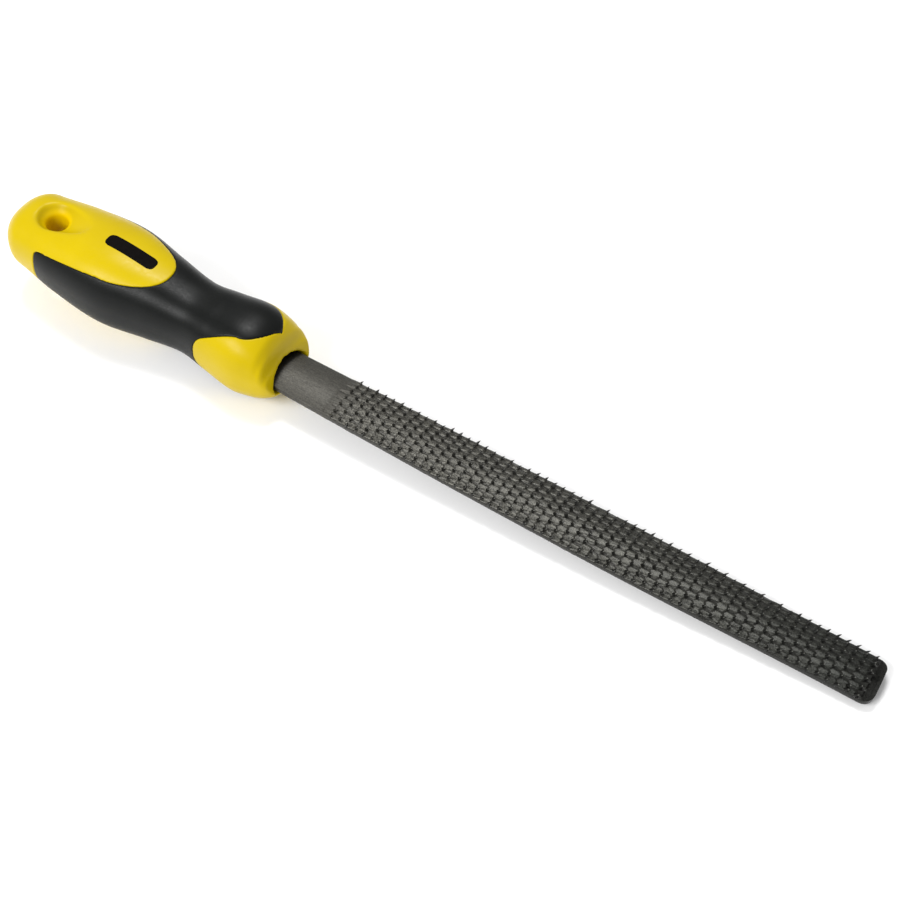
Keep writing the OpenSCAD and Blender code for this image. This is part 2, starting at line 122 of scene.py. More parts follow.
def soften(obj, voxel, rounds, lips=()):
    """Remeshes obj evenly and rounds its edges. Each lip, a centre, a reach and rounds, is rounded further.

    A lip's rounds are for voxels of lip_voxel, so that coarser meshes are rounded over the same length.
    """
    m = obj.modifiers.new("even", "REMESH")
    m.mode, m.voxel_size = "VOXEL", voxel
    apply_modifiers(obj)
    edges = obj.modifiers.new("edges", "SMOOTH")
    edges.factor, edges.iterations = 0.5, rounds
    spots = np.empty(len(obj.data.vertices) * 3)
    obj.data.vertices.foreach_get("co", spots)
    spots = spots.reshape(-1, 3)
    for k, (centre, reach, lip_rounds) in enumerate(lips):
        group = obj.vertex_groups.new(name=f"lip_{k}")
        near = ease(lip_fade - lip_fade * np.linalg.norm((spots - centre) / reach, axis=1))
        for level in range(1, lip_levels + 1):
            members = np.nonzero(np.round(near * lip_levels) == level)[0]
            group.add([int(v) for v in members], level / lip_levels, "REPLACE")
        lip = obj.modifiers.new(group.name, "SMOOTH")
        lip.factor, lip.vertex_group = 0.5, group.name
        lip.iterations = int(lip_rounds * (lip_voxel / voxel) ** 2)
    apply_modifiers(obj)
    obj.data.shade_smooth()


# ---------------------------------------------------------------- handle form
# Station, half width, and half height above and below the middle line.
HANDLE = np.array([
    [0, 9.4, 1.6, 5.5],
    [-1.4, 10.9, 2.6, 7.5],
    [-3.4, 12.2, 3.8, 9.0],
    [-5.4, 12.8, 9.0, 10.5],
    [-8, 13.3, 12.4, 11.9],
    [-15.5, 14.2, 14.2, 13.9],
    [-26.5, 12.8, 12.8, 12.8],
    [-36.4, 11.6, 11.7, 11.7],
    [-49.7, 13.5, 13.5, 13.5],
    [-66, 16.4, 15.0, 15.0],
    [-84, 15.4, 13.2, 13.2],
    [-97, 13.3, 11.3, 11.3],
    [-112, 11.5, 9.4, 9.4],
])
handle_len = 108.4
butt_r, butt_flat = 9.0, 0.06
# The section's squareness, that of its upper half at the mouth, and the start and length of the change.
squareness, mouth_squareness, square_from, square_run = 2.4, 4.5, -6.5, 4
hole_dist, hole_r = mouth_x, 3.6
grip_t = 2.2
# The grip's outline: its rear edge, the tip of the shell's rear tongue, the rear end of the
# shell's side lobes, and the tip of the grip's front tongue. Angles are from the top.
grip_rear, tongue_tip, lobe_rear, front_tip = -90.5, -46.0, -29.5, -6.4
rear_tongue_a, rear_tongue_gain, rear_tip_l = 47, 0.45, 20
rear_corner_l, rear_corner_a = 2.5, 7
front_tongue_a, front_tip_l, front_tip_bend, front_offset_a = 38, 9, 0.95, 12.0
lobe_a, lobe_bend, lobe_corner_a, lobe_corner_share = 31, 1.25, 15, 0.2
mouth_a, tip_angle = 45, 0.8


def table_column(c, x):
    """Column c of the handle's table at stations x, as a smooth curve through its rows."""
    xs, ys = -HANDLE[:, 0], HANDLE[:, c]
    n = len(xs)
    ahead, behind = np.minimum(np.arange(n) + 1, n - 1), np.maximum(np.arange(n) - 1, 0)
    slope = (ys[ahead] - ys[behind]) / (xs[ahead] - xs[behind])
    q = -np.asarray(x, float)
    i = np.clip(np.searchsorted(xs, q, side="right") - 1, 0, n - 2)
    l = xs[i + 1] - xs[i]
    t = (q - xs[i]) / l
    return (
        ys[i] * (1 + 2 * t) * (1 - t) ** 2 + slope[i] * l * t * (1 - t) ** 2
        + ys[i + 1] * t * t * (3 - 2 * t) + slope[i + 1] * l * t * t * (t - 1)
    )


def butt_factor(x):
    """Share of the section's size left at station x where the butt is rounded off."""
    t = np.clip((butt_r - handle_len - np.asarray(x, float)) / butt_r, 0, 1)
    return np.maximum(butt_flat, np.sqrt(np.maximum(0, 1 - t * t)))


def half_w(x):
    return table_column(1, x) * butt_factor(x)


def half_h(x, side):
    """Half height of the section above (side 1) or below (side -1) its middle."""
    return np.where(np.asarray(side) > 0, table_column(2, x), table_column(3, x)) * butt_factor(x)


def mid_z(x):
    return mouth_lift - handle_rise * np.asarray(x, float) / hole_dist


def skin(x, angle, sunk=0.0):
    """Points of the handle's surface at stations x and angles from the top, sunk by so much."""
    s, c = np.sin(np.radians(angle)), np.cos(np.radians(angle))
    upper = mix(squareness, mouth_squareness, ease((x - square_from) / square_run))
    power = 2 / np.where(c > 0, upper, squareness)
    y = (half_w(x) - sunk) * np.sign(s) * np.abs(s) ** power
    z = mid_z(x) + (half_h(x, np.sign(c)) - sunk) * np.sign(c) * np.abs(c) ** power
    return np.stack([np.broadcast_to(x, np.shape(y)), y, z], -1)


def rear_tongue(x):
    """Half angle of the shell's rear tongue."""
    tip = np.clip((x - tongue_tip + rear_tip_l) / rear_tip_l, 0, 1)
    corner = np.clip((grip_rear + rear_corner_l - x) / rear_corner_l, 0, 1)
    half = rear_tongue_a + rear_tongue_gain * np.maximum(0, tongue_tip - rear_tip_l - x)
    return half * np.sqrt(1 - tip * tip) + rear_corner_a * (1 - np.sqrt(1 - corner * corner))


def front_tongue(x):
    """Half angle of the grip's front tongue, which widens round the shell's side lobes."""
    tip = np.clip(1 - (front_tip - x) / front_tip_l, 0, 1)
    lobe = np.clip((front_tip - front_tip_l - x) / (front_tip - front_tip_l - lobe_rear), 0, 1)
    corner = np.clip((lobe - (1 - lobe_corner_share)) / lobe_corner_share, 0, 1)
    half = front_tongue_a * (1 - tip * tip) ** front_tip_bend + lobe_a * lobe**lobe_bend
    return half + lobe_corner_a * (1 - np.sqrt(1 - corner * corner))


def split_angle(x):
    """Angle from the top at which the grip's outline crosses station x."""
    if x <= grip_rear:
        a = rear_tongue(grip_rear)
    elif x <= tongue_tip:
        a = rear_tongue(x)
    elif x < lobe_rear:
        a = mix(tip_angle, front_tongue(lobe_rear), ease((x - tongue_tip) / (lobe_rear - tongue_tip)))
    elif x <= front_tip:
        a = front_tongue(x)
    else:
        a = mouth_a * ease(1 - x / front_tip)
    return max(tip_angle, float(a))


def crowded(a, b, n, end):
    """n + 1 stations from a to b, crowded towards "a", "b" or neither."""
    t = np.linspace(0, 1, n + 1)
    t = {"a": 1 - np.cos(t * np.pi / 2), "b": np.sin(t * np.pi / 2), "": t}[end]
    return mix(a, b, t)


# Cells round a quarter of the handle: over a tongue, and beside it.
OVER, SIDE = 14, 16
QUARTER = OVER + SIDE
RING = 4 * QUARTER
butt_x = -handle_len + butt_r * (1 - math.sqrt(1 - butt_flat**2))
STATIONS = np.concatenate([
    crowded(butt_x, grip_rear, 26, "a"),
    crowded(grip_rear, grip_rear + rear_corner_l, 5, "a")[1:],
    crowded(grip_rear + rear_corner_l, tongue_tip - rear_tip_l, 18, "")[1:],
    crowded(tongue_tip - rear_tip_l, tongue_tip, 26, "b")[1:],
    crowded(tongue_tip, lobe_rear, 16, "")[1:],
    crowded(lobe_rear, front_tip - front_tip_l, 16, "a")[1:],
    crowded(front_tip - front_tip_l, front_tip, 20, "b")[1:],
    crowded(front_tip, 0, 18, "")[1:],
])


def ring_angles(x):
    """Angles of the ring's lines at station x, moved round over the top by the outline's offset."""
    a = split_angle(x)
    quarter = np.concatenate([
        np.linspace(0, a, OVER, endpoint=False), np.linspace(a, 90, SIDE, endpoint=False),
    ])
    half = np.concatenate([quarter, 180 - np.concatenate([[90], quarter[:0:-1]])])
    ring = np.concatenate([half, 180 + half])
    offset = front_offset_a * ease((x - tongue_tip) / (front_tip - front_tip_l - tongue_tip))
    return ring + offset * np.maximum(0, np.cos(np.radians(ring)))


def handle_piece(name, want_grip):
    """The grip, or the shell with the grip's recess in it."""
    n = len(STATIONS)
    levels = [skin(x, ring_angles(x), s) for s in (0.0, grip_t) for x in STATIONS]
    points = np.concatenate(levels)
    lines = np.arange(RING)
    over = np.where(lines // QUARTER % 2 == 0, lines % QUARTER, QUARTER - 1 - lines % QUARTER) < OVER
    centre = (STATIONS[1:] + STATIONS[:-1]) / 2
    gripped = np.zeros((n - 1, RING), bool)
    for i, x in enumerate(centre):
        if grip_rear < x < tongue_tip:
            gripped[i] = ~over
        elif tongue_tip < x < lobe_rear:
            gripped[i] = True
        elif lobe_rear < x < front_tip:
            gripped[i] = over

    def index(i, j, level):
        return (level * n + i) * RING + j % RING

    faces = []
    for i in range(n - 1):
        for j in range(RING):
            g = gripped[i, j]
            quad = [(i, j), (i + 1, j), (i + 1, j + 1), (i, j + 1)]
            if not want_grip:
                faces.append([index(a, b, int(g)) for a, b in quad])
            elif g:
                faces.append([index(a, b, 0) for a, b in quad])
                faces.append([index(a, b, 1) for a, b in reversed(quad)])
            behind = gripped[i - 1, j] if i else False
            for other, wall in (
                (gripped[i, j - 1], [(i, j, 0), (i + 1, j, 0), (i + 1, j, 1), (i, j, 1)]),
                (behind, [(i, j, 1), (i, j + 1, 1), (i, j + 1, 0), (i, j, 0)]),
            ):
                if g != other:
                    turn = g == want_grip
                    faces.append([index(*v) for v in (reversed(wall) if turn else wall)])
    if not want_grip:
        faces.append([index(0, j, 0) for j in range(RING)])
        faces.append([index(n - 1, j, 0) for j in range(RING - 1, -1, -1)])
    used = sorted({v for f in faces for v in f})
    renumber = {v: k for k, v in enumerate(used)}
    return mesh_object(name, to_row(points[used]), [[renumber[v] for v in f] for f in faces])


# ---------------------------------------------------------------- solids that cut the shell
HOLE_SIDES, ARCH_POINTS = 96, 33
hole_run = 40
# The scoop's radius, its middle's height over the skin at the hole and at its far end, and its length.
scoop_r, scoop_over, scoop_end_over, scoop_reach = 6.5, 1.5, 5.4, 10
# The mouth's face from its foot to its top, and the size of the solid that cuts it.
face_foot, face_top, face_clear, face_half_w = (1.05, -3), (-4.35, 9), 8, 20
# The opening's half width, its room over and under the blade, and how much lower it is at its sides.
mouth_half_w, mouth_over, mouth_under, mouth_arch = 8.7, 3.0, 0.5, 4.6
# The opening's room for the even remesh, and the stations of its ends.
mouth_grow, mouth_back, mouth_front = 0.15, -14.6, 6


def ball_hull(name, balls):
    """The hull of balls, each given as centre and radius in the mouth's frame."""
    bm = bmesh.new()
    for centre, r in balls:
        place = Matrix.Translation(Vector(to_row([centre])[0]))
        bmesh.ops.create_icosphere(bm, subdivisions=4, radius=r * MM, matrix=place)
    hull = bmesh.ops.convex_hull(bm, input=bm.verts)
    drop = [e for e in hull["geom_interior"] + hull["geom_unused"] if isinstance(e, bmesh.types.BMVert)]
    bmesh.ops.delete(bm, geom=drop, context="VERTS")
    mesh = bpy.data.meshes.new(name)
    bm.to_mesh(mesh)
    bm.free()
    obj = bpy.data.objects.new(name, mesh)
    bpy.context.scene.collection.objects.link(obj)
    return obj


def prism(name, first, last):
    """A solid between two outlines of as many points each, given in the mouth's frame."""
    n = len(first)
    faces = [list(range(n - 1, -1, -1)), list(range(n, 2 * n))]
    faces += [[i, (i + 1) % n, (i + 1) % n + n, i + n] for i in range(n)]
    return mesh_object(name, to_row(list(first) + list(last)), faces, smooth=False)


def hole_cutter():
    """The hang hole's bore."""
    t = np.arange(HOLE_SIDES) * 2 * np.pi / HOLE_SIDES
    ring = np.stack([hole_r * np.cos(t) - hole_dist, hole_r * np.sin(t)], -1)
    return prism("hole_cutter", *([(x, y, z) for x, y in ring] for z in (-hole_run, hole_run)))


def scoop_cutter(up):
    """The scoop into the hang hole, from above (up 1) or from below (up -1)."""
    near_x, far_x = -hole_dist, scoop_reach - hole_dist
    near = (near_x, 0, float(mid_z(near_x) + up * (half_h(near_x, up) + scoop_over)))
    far = (far_x, 0, float(mid_z(far_x) + up * (half_h(far_x, up) + scoop_end_over)))
    return ball_hull(f"scoop_cutter_{up}", [(near, scoop_r), (far, scoop_r)])


def lean_cutter():
    """Everything in front of the mouth's face, which leans back from its foot."""
    outline = [face_foot, face_top, (face_clear, face_top[1]), (face_clear, face_foot[1])]
    return prism("lean_cutter", *([(x, y, z) for x, z in outline] for y in (-face_half_w, face_half_w)))


def mouth_cutter():
    """The arched opening round the blade."""
    top, side = blade_t + mouth_over + mouth_grow, blade_t + mouth_over - mouth_arch
    w = mouth_half_w + mouth_grow
    r = (w**2 + (top - side) ** 2) / (2 * (top - side))
    a = math.asin(w / r)
    outline = [(w, -mouth_under - mouth_grow), (-w, -mouth_under - mouth_grow)]
    outline += [(r * math.sin(t), top - r + r * math.cos(t)) for t in np.linspace(-a, a, ARCH_POINTS)]
    return prism("mouth_cutter", *([(x, y, z) for y, z in outline] for x in (mouth_back, mouth_front)))


# ---------------------------------------------------------------- blade
first_row, row_pitch, bare_tip = 19.8, 3.0, 4.0
tooth_gap, column_drift = 2.8, 0.042
# The rows' slope, and the length over which the lines across take it on.
row_slope, lean_blend = 0.06, 5
row_count = int((blade_len - bare_tip - first_row) / row_pitch) + 1
# Room left outside the last burr on the curved and the flat face, and that from which one more is set.
curved_land, flat_land, edge_gap = 0.6, 1.6, 1.1
pad_l, pad_h, pit_l, pit_h = 3.6, 0.45, 1.3, 0.5
# A pad's half width, how far its front bows back over what half width, and how long the front's rise is.
pad_w, pad_bow, pad_bow_w, pad_edge_l = 1.3, 0.5, 1.2, 0.22
# Half width of a pit at its far end and at the pad.
pit_end_w, pit_w = 0.3, 1.0
burr_reach = 1.6
tooth_h = 1.5
tip_r = 3.0
# Shares of the blade's length at which it starts to narrow, and over which it does.
taper_from, taper_run = 0.55, 0.45
# The blade's first station inside the handle, and the distance between the toothed part's lines.
inside_x, line_gap = -13, 0.25
# How far the side walls stand out from the faces' last lines, and how far they drop from them.
WALL = ((0.15, 0.1), (0.22, 0.3), (0.22, -0.3), (0.15, -0.1))
wall_out = max(out for out, _ in WALL)


def plan_half_w(x):
    """Half width in plan: it grows to the belly and narrows to the tip's rounded corners."""
    swell = mix(belly_half_w, heel_half_w, (1 - np.clip(2 * x / blade_len, 0, 1)) ** 2)
    taper = mix(swell, tip_half_w, ease((x - blade_len * taper_from) / (blade_len * taper_run)))
    c = np.clip((x - blade_len + tip_r) / tip_r, 0, 1)
    return taper - tip_r * (1 - np.sqrt(1 - c * c))


def lean_of_rows(x):
    """How far a line across the blade leans towards the tip, for each millimetre across."""
    near_rows = np.clip((x - first_row / 2) / lean_blend, 0, 1)
    return row_slope * near_rows * np.clip((blade_len - x) / bare_tip, 0, 1)


def burrs(upper):
    """Places of one face's burrs, as station of the cutting edge and distance from the middle line."""
    places = []
    for k in range(row_count):
        x0 = first_row + k * row_pitch
        drift = column_drift * (x0 - first_row) - (tooth_gap / 2 if k % 2 else 0)
        reach = plan_half_w(x0) - (curved_land if upper else flat_land)
        low = math.ceil((drift - reach) / tooth_gap)
        high = math.floor((drift + reach) / tooth_gap)
        row = [j * tooth_gap - drift for j in range(low, high + 1)]
        row = [-reach] * (row[0] + reach > edge_gap) + row + [reach] * (reach - row[-1] > edge_gap)
        places += [(x0, y) for y in row]
    return places


def relief(x, y, upper, seed):
    """Height of the raised pads and the pits above the plain face at (x, y), with no row slope in x."""
    own = np.random.default_rng(seed)
    z = np.zeros_like(x)
    for x0, y0 in burrs(upper):
        y0 = y0 + own.normal(0, 0.05)
        tall, wide = np.clip(own.normal(1, 0.15, 2), 0.7, 1.3)
        near = (np.abs(y - y0) < burr_reach) & (x > x0 - pad_l) & (x < x0 + pit_l)
        dy = np.abs(y[near] - y0)
        dx = x[near] - x0 + pad_bow * (dy / pad_bow_w) ** 2
        back = np.clip(1 + dx / pad_l, 0, 1)
        pad = pad_h * tall * back**0.8 * np.clip(1 - (dy / (pad_w * wide)) ** 3, 0, 1)
        pad *= np.clip(-dx / pad_edge_l, 0, 1)
        front = np.clip(1 - dx / pit_l, 0, 1)
        pit = -pit_h * tall * front**0.8 * np.clip(1 - (dy / mix(pit_end_w, pit_w, front)) ** 2, 0, 1)
        z[near] = np.where(dx <= 0.0, np.maximum(z[near], pad), z[near] + pit)
    return z


THORN_RINGS = (0.0, 0.3, 0.55, 0.75, 0.9, 1.0)
THORN_SIDES = 7
# A thorn's length at its foot, how far its front is behind the cutting edge, and its depth in the blade.
thorn_l, thorn_back, thorn_sunk = 1.15, 0.12, 0.25
# Half width and length left at its point.
point_w, point_l = 0.06, 0.05


def thorn(own, size):
    """A burr's raised point: flat in front, round behind and hooked forward, as rings from foot to point."""
    lean = own.uniform(0.2, 0.7) * size
    width = own.uniform(0.62, 0.82)
    twist = own.normal(0, 0.12)
    rings = []
    for t in THORN_RINGS:
        w = width * (1 - t) ** 0.7 + point_w
        l = thorn_l * (1 - t) ** 0.9 + point_l
        at = lean * t**1.8 - thorn_back
        up = -thorn_sunk + (size * tooth_h + thorn_sunk) * t
        shape = [
            (0.0, w), (0.06, 0.45 * w), (0.06, -0.45 * w), (0.0, -w),
            (-0.55 * l, -0.8 * w), (-l, 0), (-0.55 * l, 0.8 * w),
        ]
        rings.append([(at + f, side + twist * t, up) for f, side in shape])
    return np.array(rings)


def thorns(arch_at, slope_at, side, seed):
    """All thorns of one face, as points and faces."""
    own = np.random.default_rng(seed)
    points, faces = [], []
    for x0, y0 in burrs(side > 0):
        rings = thorn(own, np.clip(own.normal(1, 0.16), 0.6, 1.25))
        slope = slope_at(y0)
        n = 1 / math.sqrt(1 + slope**2)
        along, across, up = rings[..., 0], rings[..., 1], rings[..., 2]
        x = x0 + along + lean_of_rows(x0) * y0
        y = y0 + across * n + up * slope * n
        z = arch_at(y0) + side * (up * n - across * slope * n)
        k, m = rings.shape[:2]
        start = len(points)
        points += list(np.stack([x, y, z], -1).reshape(-1, 3))
        for i in range(k - 1):
            for j in range(m):
                a, b = start + i * m + j, start + i * m + (j + 1) % m
                faces.append((a, b, b + m, a + m))
        faces.append(tuple(start + (k - 1) * m + j for j in range(m)))
        faces.append(tuple(start + m - 1 - j for j in range(m)))
    return points, faces


def blade_lines():
    """Stations of the blade's lines across."""
    inside = np.linspace(inside_x, first_row - pad_l, 30, endpoint=False)
    toothed = first_row - pad_l + np.arange(int((row_count * row_pitch + pad_l) / line_gap)) * line_gap
    bare = np.linspace(toothed[-1] + 2 * line_gap, blade_len - tip_r, 4)
    return np.concatenate([inside, toothed, bare, crowded(blade_len - tip_r, blade_len, 10, "b")[1:]])


def arch_height(y):
    return edge_t + arch_rise * (1 - (y / belly_half_w) ** 2)


def arch_slope(y):
    return 2 * arch_rise * y / belly_half_w**2


def make_blade():
    """The blade: two toothed faces on one grid, joined by eased side walls, and the thorns on both.

    The attribute "relief" is the height over the plain face, and 1 to 2 from a thorn's foot to its point.
    """
    lines = blade_lines()
    half = 48
    across = np.linspace(-1, 1, 2 * half + 1)
    w = plan_half_w(lines)[:, None]
    y = across[None] * (w - wall_out)
    x = np.repeat(lines[:, None], len(across), 1)
    shear = lean_of_rows(lines)[:, None] * y
    edge = np.clip((1 - np.abs(across)) / 0.02, 0, 1)[None]
    slope = arch_slope(y)
    tilt = 1 / np.sqrt(1 + slope**2)
    top_rel, low_rel = relief(x, y, True, 11), relief(x, y, False, 12)
    top = np.stack([x + shear, y + top_rel * slope * tilt * edge, arch_height(y) + top_rel * tilt], -1)
    low = np.stack([x + shear, y, -low_rel], -1)
    walls = []
    for column, sign in ((-1, 1), (0, -1)):
        wall = []
        for out, drop in WALL:
            p = (top if drop > 0 else low)[:, column].copy()
            p[:, 1] += sign * out
            p[:, 2] -= drop
            wall.append(p)
        walls.append(wall if sign > 0 else wall[::-1])
    loop = [top[:, c] for c in range(len(across))] + walls[0]
    loop += [low[:, c] for c in range(len(across) - 1, -1, -1)] + walls[1]
    grid = np.stack(loop, 1)
    n, m = grid.shape[:2]
    faces = [
        [i * m + j, (i + 1) * m + j, (i + 1) * m + (j + 1) % m, i * m + (j + 1) % m]
        for i in range(n - 1) for j in range(m)
    ]
    faces += [list(range(m)), list(range(n * m - 1, (n - 1) * m - 1, -1))]
    points = list(grid.reshape(-1, 3))
    flat = np.zeros((n, len(WALL)))
    height = list(np.concatenate([top_rel, flat, low_rel[:, ::-1], flat], 1).reshape(-1))
    rings = len(THORN_RINGS)
    for burr_points, burr_faces in (
        thorns(arch_height, arch_slope, 1, 21),
        thorns(lambda v: 0 * v, lambda v: 0 * v, -1, 22),
    ):
        faces += [[v + len(points) for v in f] for f in burr_faces]
        points += burr_points
        height += [1.0 + (k // THORN_SIDES % rings) / (rings - 1) for k in range(len(burr_points))]
    obj = mesh_object("rasp_blade", to_row(points), faces)
    att = obj.data.attributes.new("relief", "FLOAT", "POINT")
    att.data.foreach_set("value", np.array(height, np.float32))
    return obj


# The bar's height over the shell, its depth in it, and half the straight part of its ends.
bar_proud, bar_sunk, bar_straight = 0.05, 0.25, 0.6


def make_bar(shell):
    """The plain printed bar, laid on the finished shell."""
    tree = BVHTree.FromObject(shell, bpy.context.evaluated_depsgraph_get())
    length, width = bar_hi.x - bar_lo.x, bar_hi.y - bar_lo.y
    r, cx = width / 2 - bar_straight, (bar_hi.x + bar_lo.x) / 2
    rows, columns = 13, 49
    over_handle = 50 * MM
    points = []
    for lift in (bar_proud, -bar_sunk):
        for v in np.linspace(-1, 1, rows):
            for u in np.linspace(-1, 1, columns):
                y = v * width / 2
                over = max(0.0, abs(y) - (width / 2 - r))
                reach = length / 2 - r + math.sqrt(max(0.0, r * r - over * over))
                x = cx + u * reach
                hit = tree.ray_cast(Vector((x * MM, y * MM, over_handle)), Vector((0, 0, -1)))[0]
                points.append((x * MM, y * MM, hit.z + lift * MM))
    faces, n = [], rows * columns
    for i in range(rows - 1):
        for j in range(columns - 1):
            q = [i * columns + j, i * columns + j + 1, (i + 1) * columns + j + 1, (i + 1) * columns + j]
            faces += [q, [n + v for v in reversed(q)]]
    rim = list(range(columns)) + [i * columns + columns - 1 for i in range(1, rows)]
    rim += [(rows - 1) * columns + j for j in range(columns - 2, -1, -1)]
    rim += [i * columns for i in range(rows - 2, 0, -1)]
    faces += [[a, a + n, b + n, b] for a, b in zip(rim, rim[1:] + rim[:1])]
    return mesh_object("printed_bar", points, faces)


# ---------------------------------------------------------------- materials
class Nodes:
    """A short way to write a node material."""

    def __init__(self, name):
        self.mat = bpy.data.materials.new(name)
        self.mat.use_nodes = True
        self.tree = self.mat.node_tree
        self.shader = self.tree.nodes["Principled BSDF"]
        self.coord = self.add("ShaderNodeTexCoord").outputs["Object"]

    def add(self, kind, **settings):
        node = self.tree.nodes.new(kind)
        for key, value in settings.items():
            if key in node.inputs:
                node.inputs[key].default_value = value
            else:
                setattr(node, key, value)
        return node

    def link(self, a, b):
        self.tree.links.new(a, b)

    def noise(self, scale, detail, rough=0.5, stretch=None):
        node = self.add("ShaderNodeTexNoise", Scale=scale, Detail=detail, Roughness=rough)
        source = self.coord
        if stretch:
            mapping = self.add("ShaderNodeMapping", Scale=stretch)
            self.link(source, mapping.inputs["Vector"])
            source = mapping.outputs["Vector"]
        self.link(source, node.inputs["Vector"])
        return node.outputs["Fac"]

    def ramp(self, fac, *stops):
        node = self.add("ShaderNodeValToRGB")
        elements = node.color_ramp.elements
        while len(elements) < len(stops):
            elements.new(0.5)
        for e, (at, colour) in zip(elements, stops):
            e.position = at
            e.color = (*colour, 1)
        self.link(fac, node.inputs["Fac"])
        return node.outputs["Color"]

    def remap(self, value, a, b, c, d):
        node = self.add("ShaderNodeMapRange")
        for key, v in (("From Min", a), ("From Max", b), ("To Min", c), ("To Max", d)):
            node.inputs[key].default_value = v
        self.link(value, node.inputs["Value"])
        return node.outputs["Result"]

    def mixed(self, fac, a, b):
        node = self.add("ShaderNodeMix", data_type="RGBA")
        for socket, v in ((node.inputs["Factor"], fac), (node.inputs[6], a), (node.inputs[7], b)):
            if isinstance(v, bpy.types.NodeSocket):
                self.link(v, socket)
            elif isinstance(v, tuple):
                socket.default_value = (*v, 1)
            else:
                socket.default_value = v
        return node.outputs[2]

    def bump(self, *layers):
        """Bumps stacked from (height socket, strength, distance in metres)."""
        last = None
        for height, strength, distance in layers:
            node = self.add("ShaderNodeBump", Strength=strength, Distance=distance)
            self.link(height, node.inputs["Height"])
            if last is not None:
                self.link(last, node.inputs["Normal"])
            last = node.outputs["Normal"]
        self.link(last, self.shader.inputs["Normal"])


def srgb(r, g, b):
    def one(c):
        c /= 255
        return c / 12.92 if c <= 0.04045 else ((c + 0.055) / 1.055) ** 2.4
    return one(r), one(g), one(b)


def yellow_plastic():
    """Semi-gloss yellow, with painted light in the hang hole's bore, whose wall is coloured lighter than the
    rest.
    """
    n = Nodes("yellow_plastic")
    cloud = n.noise(60, 3)
    colour = n.ramp(cloud, (0.3, srgb(181, 157, 0)), (0.7, srgb(187, 163, 0)))
    # Painted light: the hang hole's bore is coloured a lighter yellow, standing in for light inside it.
    in_plan = n.add("ShaderNodeMapping", Scale=(1, 1, 0))
    n.link(n.coord, in_plan.inputs["Vector"])
    from_hole = n.add("ShaderNodeVectorMath", operation="LENGTH")
    n.link(in_plan.outputs["Vector"], from_hole.inputs[0])
    hole_painted_light = n.remap(from_hole.outputs["Value"], (hole_r + 0.2) * MM, (hole_r + 1.6) * MM, 1.0, 0.0)
    colour = n.mixed(hole_painted_light, colour, srgb(212, 180, 0))
    n.link(colour, n.shader.inputs["Base Color"])
    n.link(n.remap(n.noise(900, 5), 0.35, 0.7, 0.28, 0.4), n.shader.inputs["Roughness"])
    n.bump((n.noise(2600, 2), 0.08, 0.0001), (n.noise(300, 3), 0.05, 0.0003))
    n.shader.inputs["Specular IOR Level"].default_value = 0.14
    return n.mat


def grip_rubber():
    n = Nodes("grip_rubber")
    colour = n.ramp(n.noise(120, 4), (0.3, srgb(6, 8, 7)), (0.75, srgb(12, 14, 13)))
    n.link(colour, n.shader.inputs["Base Color"])
    n.link(n.remap(n.noise(1500, 4), 0.3, 0.7, 0.34, 0.44), n.shader.inputs["Roughness"])
    n.bump((n.noise(3200, 3), 0.22, 0.00012))
    n.shader.inputs["Specular IOR Level"].default_value = 0.16
    return n.mat


